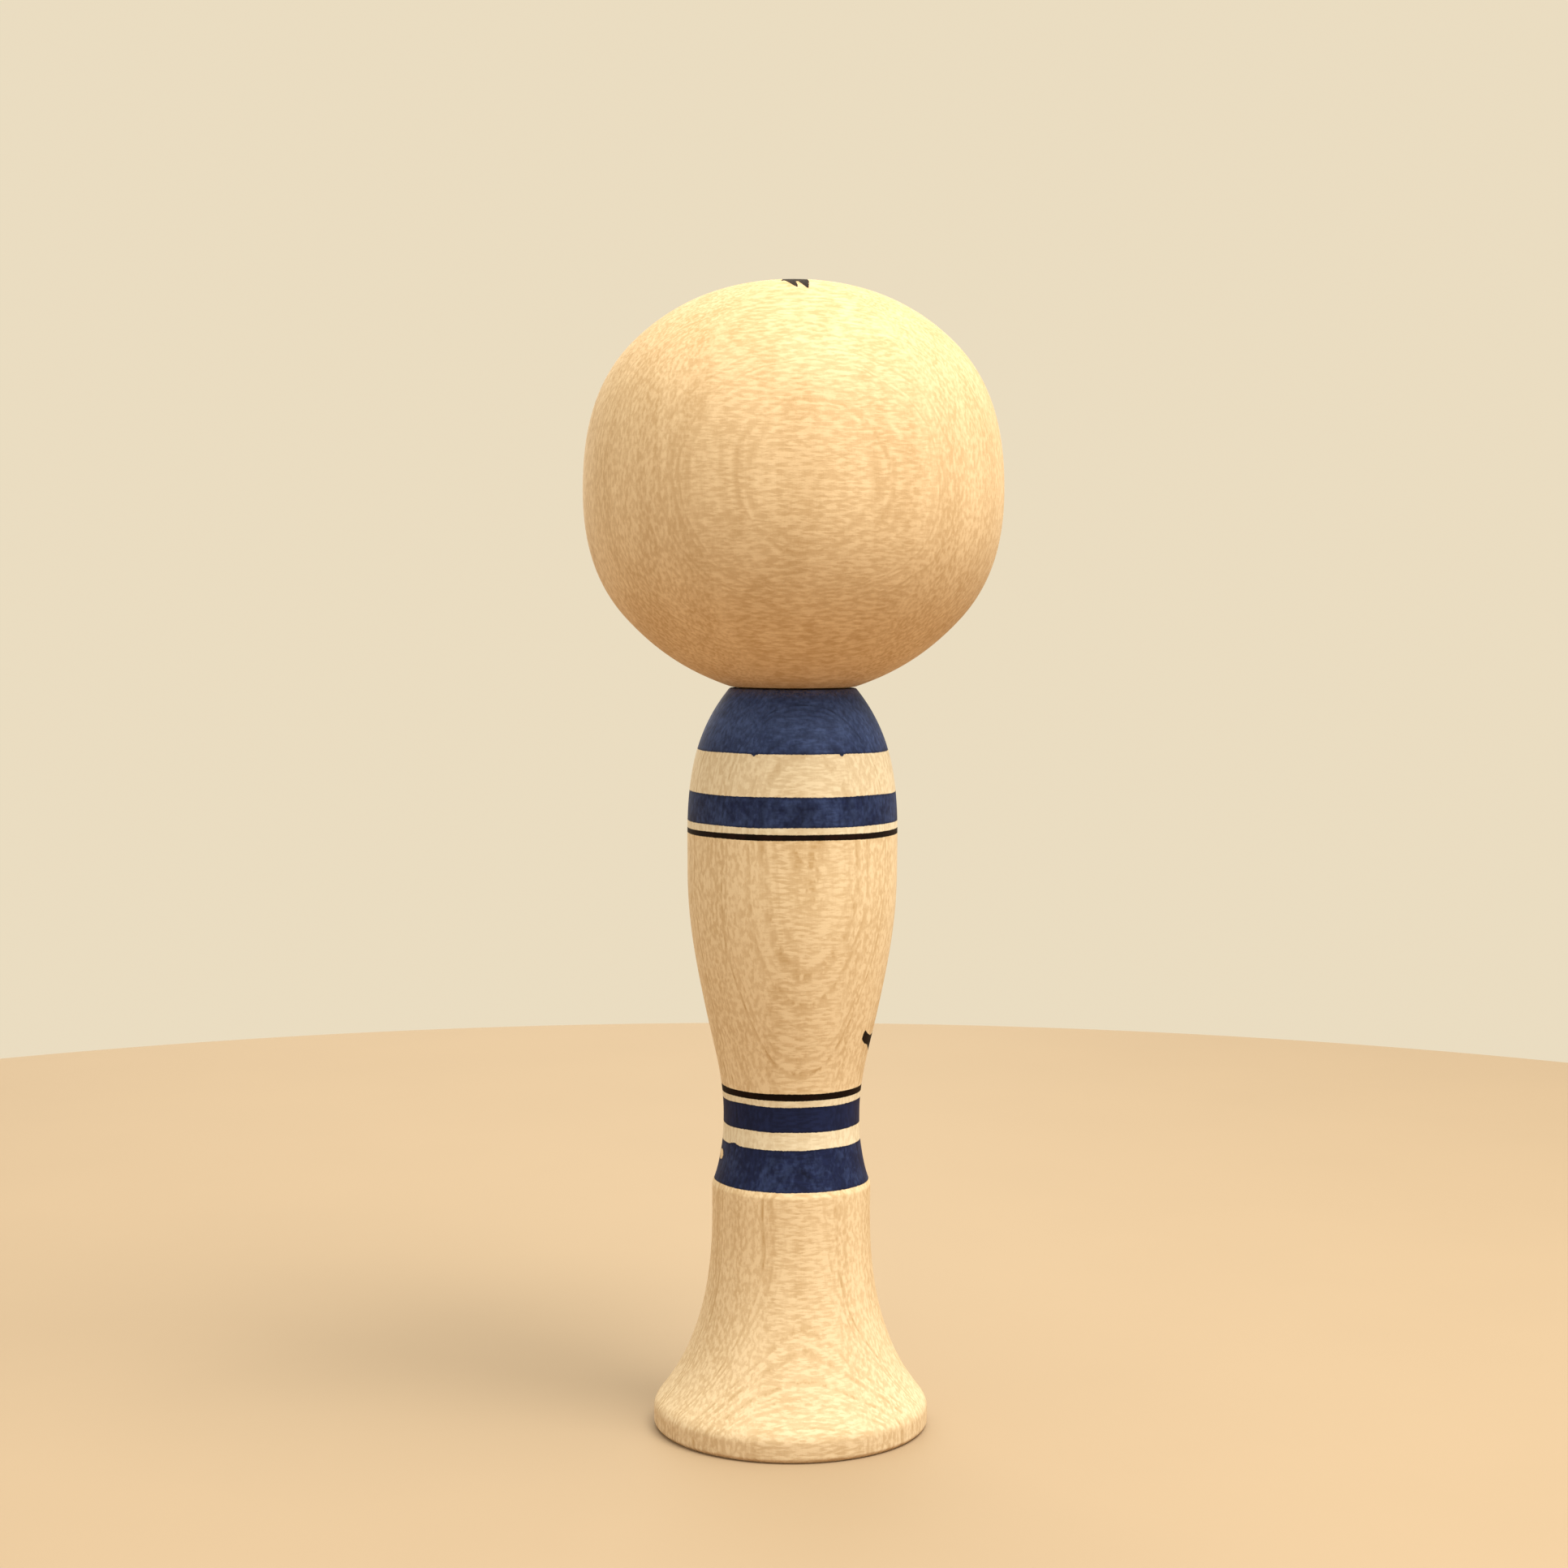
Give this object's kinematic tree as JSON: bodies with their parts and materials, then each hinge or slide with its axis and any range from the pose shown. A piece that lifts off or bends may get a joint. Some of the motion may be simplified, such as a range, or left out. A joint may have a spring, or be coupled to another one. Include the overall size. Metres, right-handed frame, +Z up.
{
  "type": "kokeshi doll",
  "caption": "Small turned wooden doll with a large round head that turns on the neck, a waisted body with a flared foot, and painted bands; stands on a flat base.",
  "frame": {"origin": "centre of the flat underside of the foot", "axes": "+Z up along the turning axis, from the foot to the crown; the painted face looks along -Y and the plain back along +Y"},
  "size_m": [0.044, 0.044, 0.121],
  "materials": {
    "body_wood": "pale turned wood, burnished and lightly waxed, with navy blue and black painted bands",
    "peg_wood": "plain turned hardwood, unpainted",
    "head_wood": "pale turned wood, burnished and lightly waxed, with black and red brush painting"
  },
  "bodies": {
    "body": {"body": "body_wood"},
    "head": {"head": "head_wood", "neck_peg": "peg_wood"}
  },
  "joints": [
    {"name": "head_turn", "type": "hinge", "parent": "body", "child": "head", "pos_m": [0, 0, 0.0788], "axis": [0, 0, 1], "continuous": true}
  ]
}
